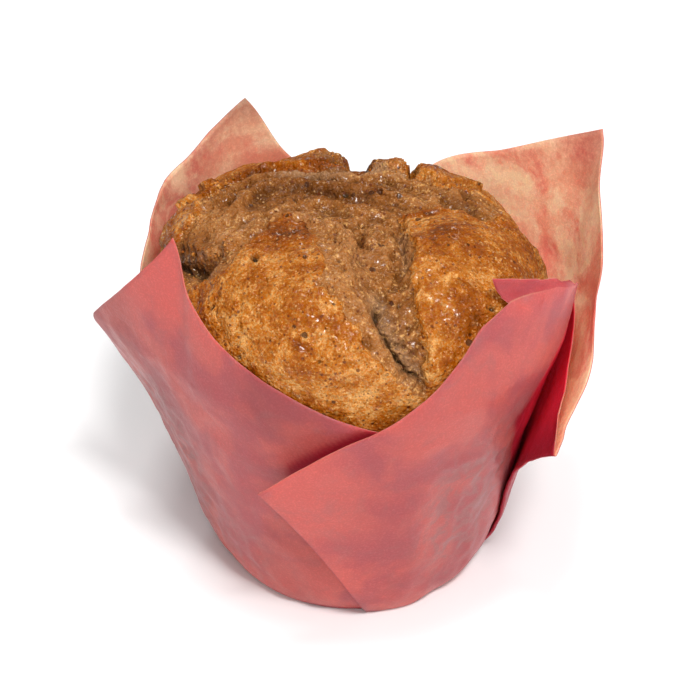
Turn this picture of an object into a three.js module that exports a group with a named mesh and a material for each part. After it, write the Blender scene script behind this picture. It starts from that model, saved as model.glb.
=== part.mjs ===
// Tulip muffin in its folded paper case.
//
// Millimetres, +Z up. The origin is the centre of the case's flat underside, and -Y is the front.
// The case is one square sheet pressed round a mandrel: a flat round base, four pointed petals
// (the sheet's corners) and four pleats (the slack half-way along each of its edges).

import * as THREE from 'three';

// ---- Driving dimensions -------------------------------------------------------------------

const BASE_RADIUS = 26.2; // flat round underside of the case
const PAPER = 0.5; // wall of the case, thicker than the sheet itself so that it keeps its shape
const GAP = 0.3; // clearance between the muffin and the case
const FOLD = 0.95; // between the middles of two neighbouring layers of a pleat
const HEEL = 2.9; // how far the rounded lower corner swells out
const HEEL_HEIGHT = 4; // over about this height
const FLARE = 0.223; // lean of the wall above it, as a slope
const HUG_HEIGHT = 58; // height at which the case stops flaring
const SHEET_REACH = 90; // wall from the base's rim to a petal's tip

const CAKE_RADIUS = 41.4; // muffin at its widest
const CAKE_SHOULDER = 62; // height of its widest part
const CAKE_TOP = 82; // height of the smooth dome
const CAKE_SHARPNESS = 0.6; // how full the dome's shoulder is: 1 is an ellipse, less is squarer
const OVERHANG = { az: 152, spread: 42, fullness: 0.34, reach: 1.2 }; // fuller shoulder, back left
const FACET_SLACK = 0.25; // more clearance, because flat facets bulge past the true curve
const CAKE_FLOOR = PAPER + GAP + 0.1; // underside of the muffin
const CAKE_FOOT = BASE_RADIUS - 1.6; // radius of that underside

// ---- Fineness of the two skins --------------------------------------------------------------

const CAKE_SECTORS = 84;
const CAKE_SIDE_ROWS = 8;
const CAKE_DOME_ROWS = 22;
const SIDE_CROWDING = 1.3; // side rows lie closer together near the floor
const DOME_CROWDING = 1.5; // dome rows lie closer together at the top

const PANEL_COLUMNS = 22;
const PLEAT_COLUMNS = 5;
const WALL_ROWS = 11;
const ROW_CROWDING = 1.4; // rows lie closer together round the rounded lower corner
const STATION_POWER = 0.8; // evens out the curves across a petal where its ribs stand far apart
const OVERRUN = 1.3; // how far past its own top a rib's curve may be followed, as a share

// ---- The four petals ----------------------------------------------------------------------
//
// A petal runs clockwise, seen from above, from the pleat's inner crease to its outer crease,
// which lies over the next petal. Each rib of it rises from the base's rim to the cut edge:
// az, r and z place the rib's top, foot is its azimuth on the rim, bend says how late it leaves
// the cup's own wall on its way out to r, and lift is how far off that wall it starts. The
// petals are in the order in which each lies over the one after it.

const rib = (az, r, z, foot, bend, lift = 0) => ({ az, r, z, foot, bend, lift });

const PETALS = {
  backRight: [
    rib(84, 43.2, 56.5, 87, 1.3), // inner crease
    rib(65, 44.8, 71, 66, 1.4),
    rib(47, 47, 77.3, 50, 1.5),
    rib(22, 56, 90, 32, 1.6), // tip, leaning well out
    rib(14, 52.7, 78.5, 25, 1.6),
    rib(4, 51.6, 71, 18, 1.8, FOLD),
    rib(-18, 51.5, 58.5, 4, 2.4, 2 * FOLD),
    rib(-31, 50.3, 48.3, -1, 2.8, 2 * FOLD),
    rib(-41, 53.6, 46.8, -9, 2.8, 2 * FOLD), // outer crease, standing off as a fin
  ],
  frontRight: [
    rib(3, 45.3, 62, -3, 2.5),
    rib(-20, 46.7, 75.5, -18, 3),
    rib(-47, 40.4, 84.5, -34, 6), // tip, bent in over the muffin
    rib(-53, 40.8, 76.5, -41, 6),
    rib(-63, 42.5, 68.7, -52, 3),
    rib(-78, 43.8, 61, -64, 2.4, 2 * FOLD),
    rib(-94, 44.4, 54.7, -75, 2, 2 * FOLD),
    rib(-115, 45.2, 42.4, -84, 1.5, 2 * FOLD), // outer crease, lying over the next petal
  ],
  frontLeft: [
    rib(-80, 42.2, 57.8, -78, 1),
    rib(-105, 42.2, 63.5, -98, 1),
    rib(-122, 42.3, 69.7, -112, 1),
    rib(-140, 42.3, 78.5, -126, 1),
    rib(-148, 42, 90, -137, 3), // tip, upright
    rib(-157, 46.3, 79.3, -154, 2.5),
    rib(-171, 50.7, 66.3, -168, 2.4, 2 * FOLD),
    rib(-188, 54.6, 49.8, -177, 2.2, 2 * FOLD), // outer crease, standing off as a fin
  ],
  backLeft: [
    rib(-160, 43.2, 58, -171, 1.3),
    rib(-200, 46.3, 66.5, -198, 1.5),
    rib(-211, 48, 73.2, -208, 1.5),
    rib(-223, 48, 76.8, -219, 1.5),
    rib(-242, 50, 84.5, -235, 1.5), // tip
    rib(-251, 44.8, 71.8, -245, 1.4),
    rib(-276, 45.6, 58.5, -270, 1.6, 2 * FOLD),
    rib(-302, 46.8, 50, -279, 1.8, 2 * FOLD),
  ],
};

// ---- Helpers ------------------------------------------------------------------------------

const radians = THREE.MathUtils.degToRad;
const clamp = THREE.MathUtils.clamp;
const lerp = THREE.MathUtils.lerp;
const smooth = (x) => THREE.MathUtils.smoothstep(x, 0, 1);

/** Radius of the plain cup at a height. */
function cupRadius(z) {
  const heel = HEEL * (1 - Math.exp(-z / HEEL_HEIGHT));
  return BASE_RADIUS + heel + FLARE * Math.min(z, HUG_HEIGHT);
}

/** A smooth curve through the values at the stations, by cubic Hermite spans. */
function curveThrough(stations, values) {
  const last = stations.length - 1;
  const slope = (i) => (values[i + 1] - values[i]) / (stations[i + 1] - stations[i]);
  const tangents = stations.map((_, i) => {
    if (i === 0) return slope(0);
    if (i === last) return slope(last - 1);
    const before = stations[i] - stations[i - 1];
    const after = stations[i + 1] - stations[i];
    return (slope(i - 1) * after + slope(i) * before) / (before + after);
  });
  return (u) => {
    let i = 0;
    while (i < last - 1 && u >= stations[i + 1]) i += 1;
    const span = stations[i + 1] - stations[i];
    const t = (u - stations[i]) / span;
    const ends = (2 * t ** 3 - 3 * t ** 2 + 1) * values[i] + (3 * t ** 2 - 2 * t ** 3) * values[i + 1];
    const bends = (t ** 3 - 2 * t ** 2 + t) * tangents[i] + (t ** 3 - t ** 2) * tangents[i + 1];
    return ends + bends * span;
  };
}

/** A point from cylindrical coordinates, azimuth in degrees. */
function polar(az, r, z) {
  return new THREE.Vector3(r * Math.cos(radians(az)), r * Math.sin(radians(az)), z);
}

/** A BufferGeometry from a vertex list and an index list. */
function meshGeometry(points, triangles) {
  const geometry = new THREE.BufferGeometry();
  geometry.setAttribute('position', new THREE.Float32BufferAttribute(points.flatMap((p) => p.toArray()), 3));
  geometry.setIndex(triangles.flat());
  geometry.computeVertexNormals();
  return geometry;
}

// ---- The case -----------------------------------------------------------------------------

/** A strip of the wall through its ribs: rows of { az, r, z }, the base's rim first. */
function wallStrip(ribs, columns) {
  const tops = ribs.map(({ az, r, z }) => polar(az, r, z));
  const stations = [0];
  for (let i = 1; i < tops.length; i += 1) {
    stations.push(stations[i - 1] + tops[i].distanceTo(tops[i - 1]) ** STATION_POWER);
  }
  const reach = ribs.map(({ r, z }) => Math.hypot(r - BASE_RADIUS, z) / SHEET_REACH);
  const tip = reach.indexOf(Math.max(...reach));
  const inner = tip > 0 && tip < ribs.length - 1;
  // The cut edge has a corner at the tip, so each side of it has a curve of its own.
  const before = inner ? curveThrough(stations.slice(0, tip + 1), reach.slice(0, tip + 1)) : null;
  const after = inner ? curveThrough(stations.slice(tip), reach.slice(tip)) : curveThrough(stations, reach);
  const fullHeight = curveThrough(stations, ribs.map(({ z }, i) => z / reach[i]));

  const end = stations[stations.length - 1];
  const us = Array.from({ length: columns + 1 }, (_, k) => (end * k) / columns);
  if (inner) us[Math.round((columns * stations[tip]) / end)] = stations[tip];

  const rows = [];
  for (let j = 0; j <= WALL_ROWS; j += 1) {
    rows.push(us.map((u) => {
      const edge = before && u < stations[tip] ? before(u) : after(u);
      const along = edge * (j / WALL_ROWS) ** ROW_CROWDING;
      const azimuths = ribs.map((one, i) => one.foot + ((one.az - one.foot) * along) / reach[i]);
      const offsets = ribs.map((one, i) => {
        const share = Math.min(along / reach[i], OVERRUN);
        return one.lift + (one.r - cupRadius(one.z) - one.lift) * share ** one.bend;
      });
      const z = along * fullHeight(u);
      const r = cupRadius(z) + curveThrough(stations, offsets)(u);
      return { az: curveThrough(stations, azimuths)(u), r, z };
    }));
  }
  return rows;
}

/** How far a strip stands off the plain cup at a place, and the azimuth of its first column there. */
function standoff(strip, az, z) {
  const column = (k) => {
    let j = 1;
    while (j < strip.length - 1 && strip[j][k].z < z) j += 1;
    const [low, high] = [strip[j - 1][k], strip[j][k]];
    const t = clamp((z - low.z) / (high.z - low.z), 0, OVERRUN);
    const off = lerp(low.r - cupRadius(low.z), high.r - cupRadius(high.z), t);
    return { az: lerp(low.az, high.az, t), off };
  };
  const columns = strip[0].map((_, k) => column(k));
  const after = columns.findIndex((one) => one.az <= az);
  if (after === 0) return { off: columns[0].off, start: columns[0].az };
  if (after < 0) return { off: columns[columns.length - 1].off, start: columns[0].az };
  const [near, far] = [columns[after - 1], columns[after]];
  const off = lerp(near.off, far.off, (near.az - az) / (near.az - far.az));
  return { off, start: columns[0].az };
}

/** A strip turned about the axis by whole turns, so that its azimuths run on from another's. */
function turned(strip, degrees) {
  return strip.map((row) => row.map((p) => ({ ...p, az: p.az + degrees })));
}

/** The petal with its flap held clear of the next petal, by the two layers that lie between. */
function heldClear(petal, next) {
  return petal.map((row) => row.map((p) => {
    const below = standoff(next, p.az, p.z);
    if (p.az > below.start) return p;
    return { ...p, r: Math.max(p.r, cupRadius(p.z) + below.off + 2 * FOLD) };
  }));
}

/** The layer folded back from a petal's outer crease to the next petal's inner crease. */
function pleatStrip(petal, next) {
  return petal.map((row, j) => {
    const outer = row[row.length - 1];
    const inner = next[j][0];
    return Array.from({ length: PLEAT_COLUMNS + 1 }, (_, c) => {
      const share = c / PLEAT_COLUMNS;
      const az = lerp(outer.az, inner.az, share);
      const z = lerp(outer.z, inner.z, share);
      const above = standoff(petal, az, z).off - FOLD;
      const below = standoff(next, az, z).off + FOLD;
      return { az, r: cupRadius(z) + lerp(above, below, share), z };
    });
  });
}

/** The round nose of a crease between the last column of one strip and the first of the next. */
function creaseColumn(before, after) {
  return before.map((row, j) => {
    const end = row[row.length - 1];
    const start = after[j][0];
    const onward = end.clone().sub(row[row.length - 2]).normalize();
    return [end.clone().add(start).multiplyScalar(0.5).addScaledVector(onward, end.distanceTo(start) / 2)];
  });
}

/** The middle surface of the whole sheet: petals and the layers folded back inside the pleats. */
function sheetRows() {
  const names = Object.keys(PETALS);
  const raw = names.map((name) => wallStrip(PETALS[name], PANEL_COLUMNS));
  const strips = names.flatMap((_, i) => {
    const following = raw[(i + 1) % raw.length];
    const outer = raw[i][0][raw[i][0].length - 1];
    const next = turned(following, 360 * Math.round((outer.az - following[0][0].az) / 360));
    const petal = heldClear(raw[i], next);
    return [petal, pleatStrip(petal, next)];
  });
  const placed = strips.map((strip) => strip.map((row) => row.map(({ az, r, z }) => polar(az, r, z))));
  const joined = placed.flatMap((strip, i) => [strip, creaseColumn(strip, placed[(i + 1) % placed.length])]);
  return joined[0].map((_, j) => joined.flatMap((strip) => strip[j]));
}

/** The case: the sheet's wall thickened on both sides, and its flat base, as one closed skin. */
function paperCase() {
  const rows = sheetRows();
  const columns = rows[0].length;
  const top = rows.length - 1;
  const at = (j, k) => rows[j][(k + columns) % columns];
  const offset = (j, k, side) => {
    const across = at(j, k + 1).clone().sub(at(j, k - 1));
    const up = at(Math.min(j + 1, top), k).clone().sub(at(Math.max(j - 1, 0), k));
    const normal = up.cross(across);
    if (j === 0) normal.z = 0;
    const point = at(j, k).clone().addScaledVector(normal.normalize(), (side * PAPER) / 2);
    if (j === 0) point.z = side > 0 ? 0 : PAPER;
    return point;
  };
  const points = [];
  for (const side of [-1, 1]) {
    for (let j = 0; j <= top; j += 1) {
      for (let k = 0; k < columns; k += 1) points.push(offset(j, k, side));
    }
  }
  const inside = (j, k) => j * columns + (k % columns);
  const outside = (j, k) => inside(j, k) + (top + 1) * columns;
  const triangles = [];
  const quad = (a, b, c, d) => triangles.push([a, b, c], [a, c, d]);
  for (let k = 0; k < columns; k += 1) {
    for (let j = 0; j < top; j += 1) {
      quad(inside(j, k), inside(j, k + 1), inside(j + 1, k + 1), inside(j + 1, k));
      quad(outside(j, k), outside(j + 1, k), outside(j + 1, k + 1), outside(j, k + 1));
    }
    quad(inside(top, k), inside(top, k + 1), outside(top, k + 1), outside(top, k));
  }
  for (const [ring, up] of [[inside, true], [outside, false]]) {
    const loop = Array.from({ length: columns }, (_, k) => ring(0, k));
    const contour = loop.map((i) => new THREE.Vector2(points[i].x, points[i].y));
    for (const face of THREE.ShapeUtils.triangulateShape(contour, [])) {
      const facesUp = THREE.ShapeUtils.area(face.map((i) => contour[i])) > 0;
      const corners = face.map((i) => loop[i]);
      triangles.push(facesUp === up ? corners : corners.reverse());
    }
  }
  return meshGeometry(points, triangles);
}

// ---- The muffin ---------------------------------------------------------------------------

/** A rounded swelling: its place on the dome, its reach, its height and its squareness. */
const swell = (az, r, reach, height, edge = 1) => ({ az, r, reach, height, edge });

const CROWN = [
  swell(-125, 17, 22, 3, 2), // front-left lobe
  swell(-30, 19, 18, 2.5, 2), // right lobe
  swell(125, 27, 15, 2.5, 1.5), // back-left slab
  swell(165, 27, 12, 2, 1.5),
  swell(62, 24, 13, 1.5, 1.5),
];

// The valley between the two front lobes, along a ray from the axis, and the length of its two ends.
const VALLEY = { az: -68, from: 2, rise: 8, to: 40, fade: 6, width: 6, depth: 4.5 };
const SPLIT = { az: 178, r: 33, width: 3.5, length: 10, depth: 3 }; // under the left overhang
const RELIEF_ONSET = 0.7; // angle up the dome, in radians, by which the relief has its full height

/** How far the crust stands above the smooth dome at a point of its plan. */
function crustRelief(x, y) {
  let height = 0;
  for (const one of CROWN) {
    const centre = polar(one.az, one.r, 0);
    const away = Math.hypot(x - centre.x, y - centre.y) / one.reach;
    height += one.height * smooth(clamp((1 - away) * one.edge, 0, 1));
  }
  const along = x * Math.cos(radians(VALLEY.az)) + y * Math.sin(radians(VALLEY.az));
  const across = y * Math.cos(radians(VALLEY.az)) - x * Math.sin(radians(VALLEY.az));
  const ends = smooth((along - VALLEY.from) / VALLEY.rise) * smooth((VALLEY.to - along) / VALLEY.fade);
  height -= VALLEY.depth * ends * Math.exp(-((across / VALLEY.width) ** 2));
  const split = polar(SPLIT.az, SPLIT.r, 0);
  const round = Math.hypot((x - split.x) / SPLIT.width, (y - split.y) / SPLIT.length);
  height -= SPLIT.depth * Math.exp(-(round ** 2));
  return height;
}

/** How much of the overhang an azimuth has, from 0 to 1. */
function overhang(az) {
  const away = THREE.MathUtils.euclideanModulo(az - OVERHANG.az + 180, 360) - 180;
  return smooth(1 - Math.abs(away) / OVERHANG.spread);
}

/** The muffin's rings from the floor up: a point of each at an azimuth. */
function cakeRib(az) {
  const points = [];
  for (let j = 0; j <= CAKE_SIDE_ROWS; j += 1) {
    const z = CAKE_FLOOR + (CAKE_SHOULDER - CAKE_FLOOR) * (j / CAKE_SIDE_ROWS) ** SIDE_CROWDING;
    const inside = cupRadius(z) - PAPER / 2 - GAP - FACET_SLACK;
    points.push(polar(az, j === 0 ? CAKE_FOOT : Math.min(inside, CAKE_RADIUS), z));
  }
  const share = overhang(az);
  const sharpness = CAKE_SHARPNESS - OVERHANG.fullness * share;
  for (let j = 1; j < CAKE_DOME_ROWS; j += 1) {
    const angle = (1 - (1 - j / CAKE_DOME_ROWS) ** DOME_CROWDING) * (Math.PI / 2);
    const out = CAKE_RADIUS - FACET_SLACK + OVERHANG.reach * share * Math.sin(2 * angle);
    const p = polar(az, out * Math.cos(angle) ** sharpness, 0);
    p.z = CAKE_SHOULDER + (CAKE_TOP - CAKE_SHOULDER) * Math.sin(angle);
    p.z += smooth(angle / RELIEF_ONSET) * crustRelief(p.x, p.y);
    points.push(p);
  }
  return points;
}

/** The muffin: a flared foot, a rounded shoulder and a cracked, lobed dome, in one piece. */
function muffin() {
  const ribs = Array.from({ length: CAKE_SECTORS }, (_, k) => cakeRib((360 * k) / CAKE_SECTORS));
  const rings = ribs[0].length;
  const points = [new THREE.Vector3(0, 0, CAKE_FLOOR)];
  points.push(...Array.from({ length: rings }, (_, ring) => ribs.map((one) => one[ring])).flat());
  points.push(new THREE.Vector3(0, 0, CAKE_TOP + crustRelief(0, 0)));
  const apex = points.length - 1;
  const index = (ring, k) => 1 + ring * CAKE_SECTORS + (k % CAKE_SECTORS);
  const triangles = [];
  for (let k = 0; k < CAKE_SECTORS; k += 1) {
    triangles.push([0, index(0, k + 1), index(0, k)]);
    for (let ring = 0; ring < rings - 1; ring += 1) {
      triangles.push([index(ring, k), index(ring, k + 1), index(ring + 1, k + 1)]);
      triangles.push([index(ring, k), index(ring + 1, k + 1), index(ring + 1, k)]);
    }
    triangles.push([index(rings - 1, k), index(rings - 1, k + 1), apex]);
  }
  return meshGeometry(points, triangles);
}

// ---- Assembly -----------------------------------------------------------------------------

/** A named mesh with its own material. */
function part(name, geometry, color, roughness) {
  const mesh = new THREE.Mesh(geometry, new THREE.MeshStandardMaterial({ color, roughness, metalness: 0 }));
  mesh.name = name;
  return mesh;
}

const group = new THREE.Group();
group.add(part('muffin', muffin(), 0xb4783c, 0.6));
group.add(part('paper_case', paperCase(), 0xc46a68, 0.7));

export default group;
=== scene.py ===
"""A spiced muffin in its folded tulip case, dressed for the studio.

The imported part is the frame. Its two solids, the muffin and the paper case, are each replaced by a
finer mesh of the same form: the muffin with its torn crust, ridges and clefts, and the case as one
thin folded sheet with a printed outside and a bare inside. A few loose crumbs lie on both. Shapes are
worked out in millimetres and degrees and brought to metres last of all.
"""

import logging
import math
from dataclasses import astuple, dataclass
from enum import Enum
from typing import Sequence

import bmesh
import bpy
import numpy as np
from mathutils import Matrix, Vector, noise
from mathutils.bvhtree import BVHTree


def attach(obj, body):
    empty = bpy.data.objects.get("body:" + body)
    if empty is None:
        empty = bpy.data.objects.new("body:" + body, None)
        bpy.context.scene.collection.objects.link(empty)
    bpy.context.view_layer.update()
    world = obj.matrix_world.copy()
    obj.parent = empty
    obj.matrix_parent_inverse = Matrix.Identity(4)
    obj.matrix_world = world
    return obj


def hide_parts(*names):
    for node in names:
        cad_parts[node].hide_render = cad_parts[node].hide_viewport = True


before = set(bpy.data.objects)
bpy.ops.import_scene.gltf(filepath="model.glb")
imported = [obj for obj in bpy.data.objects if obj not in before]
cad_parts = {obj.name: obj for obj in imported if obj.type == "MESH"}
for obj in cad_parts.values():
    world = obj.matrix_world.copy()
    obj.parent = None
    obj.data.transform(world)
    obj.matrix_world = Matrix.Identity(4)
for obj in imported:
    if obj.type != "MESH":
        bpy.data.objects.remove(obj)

LOG = logging.getLogger("muffin")

MM = 0.001  # metres in a millimetre
SEED = 20  # moves every noise field to a place of its own

Colour = tuple[float, float, float]
Plan = tuple[float, float]  # a place on the flat map of the dome: see Dome
Array = np.ndarray
Socket = bpy.types.NodeSocket
Node = bpy.types.Node
Tree = bpy.types.NodeTree
Material = bpy.types.Material
Piece = bpy.types.Object
Shape = bmesh.types.BMesh


class Front(Enum):
    """Which face of the paper a finish is for."""

    PRINTED = "printed"
    BARE = "bare"
    CUT = "cut"


# ---- Small sums ----


def smooth(x: Array) -> Array:
    """Eases a value from 0 to 1 and holds it at either end."""
    t = np.clip(x, 0.0, 1.0)
    return t * t * (3.0 - 2.0 * t)


def polar(az: Array, r: Array, z: Array) -> Array:
    """Turns cylindrical coordinates, azimuth in degrees, into points."""
    turn = np.radians(az)
    return np.stack([r * np.cos(turn), r * np.sin(turn), z], axis=-1)


def azimuth(points: Array) -> Array:
    """The azimuths of points, in degrees."""
    return np.degrees(np.arctan2(points[..., 1], points[..., 0]))


def wrapped(degrees: Array) -> Array:
    """Brings angles to within half a turn of zero."""
    return (degrees + 180.0) % 360.0 - 180.0


def toward(az: float, rise: float) -> Vector:
    """A direction from its azimuth and its angle above the level, both in degrees."""
    turn, up = math.radians(az), math.radians(rise)
    return Vector((math.cos(up) * math.cos(turn), math.cos(up) * math.sin(turn), math.sin(up)))


def noise_field(points: Array, size: float, octaves: int = 1, seed: int = 0) -> Array:
    """Works out fractal noise at many points.

    Args:
        points: places in millimetres, one a row.
        size: width of the largest swellings in millimetres.
        octaves: how many finer layers are added, each half as wide.
        seed: a whole number that moves the field elsewhere.

    Returns:
        One value a point, most of them between -1 and 1.
    """
    shift = Vector((SEED + 7.3 * seed, 3.1 * seed, 11.7 * seed))
    if octaves == 1:
        values = [noise.noise(Vector(p) / size + shift) for p in points]
    else:
        values = [noise.fractal(Vector(p) / size + shift, 1.0, 2.0, octaves) for p in points]
    return np.array(values)


def curve_weights(stations: Array, u: Array) -> Array:
    """Weights that a smooth curve through the stations gives each of them.

    Args:
        stations: rising places of the known values.
        u: places where the curve is wanted.

    Returns:
        An array with a row for each u and a column for each station.
    """
    count = len(stations)
    values = np.eye(count)
    span = np.diff(stations)
    slope = np.diff(values, axis=0) / span[:, None]
    tangent = np.empty_like(values)
    tangent[0], tangent[-1] = slope[0], slope[-1]
    before, after = span[:-1, None], span[1:, None]
    tangent[1:-1] = (slope[:-1] * after + slope[1:] * before) / (before + after)
    i = np.clip(np.searchsorted(stations, u, side="right") - 1, 0, count - 2)
    t = ((u - stations[i]) / span[i])[:, None]
    ends = (2 * t**3 - 3 * t**2 + 1) * values[i] + (3 * t**2 - 2 * t**3) * values[i + 1]
    bends = (t**3 - 2 * t**2 + t) * tangent[i] + (t**3 - t**2) * tangent[i + 1]
    return ends + bends * span[i][:, None]


def distance_to_path(places: Array, path: Sequence[Plan]) -> tuple[Array, Array]:
    """Measures how far places lie from an open path, and how far along it their nearest point is.

    Args:
        places: flat places, one a row.
        path: the path's corners in order.

    Returns:
        The distance of each place, and its share of the path's length from 0 to 1.
    """
    corners = np.array(path, dtype=float)
    lengths = np.linalg.norm(np.diff(corners, axis=0), axis=1)
    starts = np.concatenate([[0.0], np.cumsum(lengths)])
    best = np.full(len(places), np.inf)
    share = np.zeros(len(places))
    for a, b, length, start in zip(corners[:-1], corners[1:], lengths, starts[:-1]):
        t = np.clip(((places - a) @ (b - a)) / length**2, 0.0, 1.0)
        away = np.linalg.norm(places - (a + t[:, None] * (b - a)), axis=1)
        nearer = away < best
        best = np.where(nearer, away, best)
        share = np.where(nearer, (start + t * length) / starts[-1], share)
    return best, share


def depth_inside(places: Array, outline: Sequence[Plan]) -> Array:
    """Measures how far places lie inside a closed outline, as a negative number outside it."""
    corners = np.array(outline, dtype=float)
    away, _ = distance_to_path(places, [*outline, outline[0]])
    inside = np.zeros(len(places), dtype=bool)
    x, y = places[:, 0], places[:, 1]
    for (ax, ay), (bx, by) in zip(corners, np.roll(corners, -1, axis=0)):
        crosses = (ay > y) != (by > y)
        reach = ax + (y - ay) * (bx - ax) / (by - ay if by != ay else 1.0)
        inside ^= crosses & (x < reach)
    return np.where(inside, away, -away)


# ---- Node sketches ----


class Sketch:
    """A node tree with short calls for the nodes that the finishes use."""

    def __init__(self, tree: Tree) -> None:
        """Starts a sketch on an empty tree."""
        self.tree = tree
        tree.nodes.clear()

    def node(self, kind: str, **settings: object) -> Node:
        """Adds a node and sets its own properties."""
        made = self.tree.nodes.new(kind)
        for name, value in settings.items():
            setattr(made, name, value)
        return made

    def feed(self, socket: Socket, value: object) -> None:
        """Links a socket to another one, or sets its value where it isn't linked."""
        if isinstance(value, Socket):
            self.tree.links.new(value, socket)
        elif isinstance(value, tuple) and len(value) == 3 and socket.type == "RGBA":
            socket.default_value = (*value, 1.0)
        else:
            socket.default_value = value

    def fill(self, node: Node, **values: object) -> Node:
        """Feeds a node's named inputs, with a _ for each space in a name."""
        for name, value in values.items():
            self.feed(node.inputs[name.replace("_", " ")], value)
        return node

    def math(self, operation: str, *values: object) -> Socket:
        """Adds a Math node and returns its result."""
        made = self.node("ShaderNodeMath", operation=operation)
        for socket, value in zip(made.inputs, values):
            self.feed(socket, value)
        return made.outputs[0]

    def times(self, a: object, b: object) -> Socket:
        """Multiplies two values."""
        return self.math("MULTIPLY", a, b)

    def total(self, start: object, *terms: tuple[object, float]) -> Socket:
        """Adds other values to a first one, each times a weight of its own."""
        for value, weight in terms:
            start = self.math("MULTIPLY_ADD", value, weight, start)
        return start

    def ease(self, value: object, low: float, high: float, to: Plan = (0.0, 1.0)) -> Socket:
        """Maps low..high smoothly to the range in to, and holds it at either end."""
        made = self.node("ShaderNodeMapRange", interpolation_type="SMOOTHSTEP")
        self.fill(made, Value=value, From_Min=low, From_Max=high, To_Min=to[0], To_Max=to[1])
        return made.outputs["Result"]

    def mix(self, share: object, a: object, b: object, blend: str = "MIX") -> Socket:
        """Mixes two colours."""
        made = self.node("ShaderNodeMix", data_type="RGBA", blend_type=blend)
        for socket, value in zip((made.inputs[0], made.inputs[6], made.inputs[7]), (share, a, b)):
            self.feed(socket, value)
        return made.outputs[2]

    def layers(self, colour: object, *coats: tuple[object, object]) -> Socket:
        """Lays coats of other colours over a colour, each by its own share."""
        for share, coat in coats:
            colour = self.mix(share, colour, coat)
        return colour

    def millimetres(self) -> Socket:
        """Object coordinates counted in millimetres."""
        place = self.node("ShaderNodeTexCoord").outputs["Object"]
        made = self.node("ShaderNodeMapping")
        return self.fill(made, Vector=place, Scale=(1.0 / MM,) * 3).outputs["Vector"]

    def texture(
        self, place: object, scale: object, detail: float = 2.0, rough: float = 0.5, bend: float = 0.0
    ) -> Node:
        """A noise texture with scale swellings in a millimetre."""
        made = self.node("ShaderNodeTexNoise")
        return self.fill(made, Vector=place, Scale=scale, Detail=detail, Roughness=rough, Distortion=bend)

    def noise(self, place: object, size: float, *manner: float) -> Socket:
        """Noise whose swellings are size millimetres wide. Manner is its detail, roughness and bend."""
        return self.texture(place, 1.0 / size, *manner).outputs["Fac"]

    def attribute(self, name: str) -> Socket:
        """A value that the mesh carries."""
        return self.node("ShaderNodeAttribute", attribute_name=name).outputs["Fac"]

    def bump(self, height: object, depth: float, **under: object) -> Socket:
        """Bump of a depth in millimetres, over another one if its Normal is given."""
        made = self.node("ShaderNodeBump")
        return self.fill(made, Height=height, Distance=depth * MM, **under).outputs["Normal"]

    def group(self, tree: Tree, **values: object) -> Node:
        """Places a node group and feeds its named inputs."""
        return self.fill(self.node("ShaderNodeGroup", node_tree=tree), **values)


class GroupSketch(Sketch):
    """A node group with named inputs and outputs."""

    def __init__(self, name: str, inputs: dict[str, float | None], outputs: Sequence[str]) -> None:
        """Makes the group's sockets. An input of None is a vector, and any other is a number."""
        super().__init__(bpy.data.node_groups.new(name, "ShaderNodeTree"))
        for title, start in inputs.items():
            kind = "NodeSocketVector" if start is None else "NodeSocketFloat"
            socket = self.tree.interface.new_socket(title, in_out="INPUT", socket_type=kind)
            if start is not None:
                socket.default_value = start
        for title in outputs:
            self.tree.interface.new_socket(title, in_out="OUTPUT", socket_type="NodeSocketFloat")
        self.given = self.node("NodeGroupInput").outputs
        self.result = self.node("NodeGroupOutput").inputs


class MaterialSketch(Sketch):
    """A material with one Principled shader, whose own sockets hold what doesn't change over it."""

    def __init__(self, name: str, **constants: object) -> None:
        """Starts the material and sets the shader's constant sockets."""
        self.material = bpy.data.materials.new(name)
        self.material.use_nodes = True
        super().__init__(self.material.node_tree)
        self.shader = self.node("ShaderNodeBsdfPrincipled")
        output = self.node("ShaderNodeOutputMaterial")
        self.fill(output, Surface=self.shader.outputs["BSDF"])
        self.fill(self.shader, **constants)

    def finish(self, **sockets: object) -> Material:
        """Feeds the shader's named sockets and returns the material."""
        self.fill(self.shader, **sockets)
        return self.material


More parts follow.
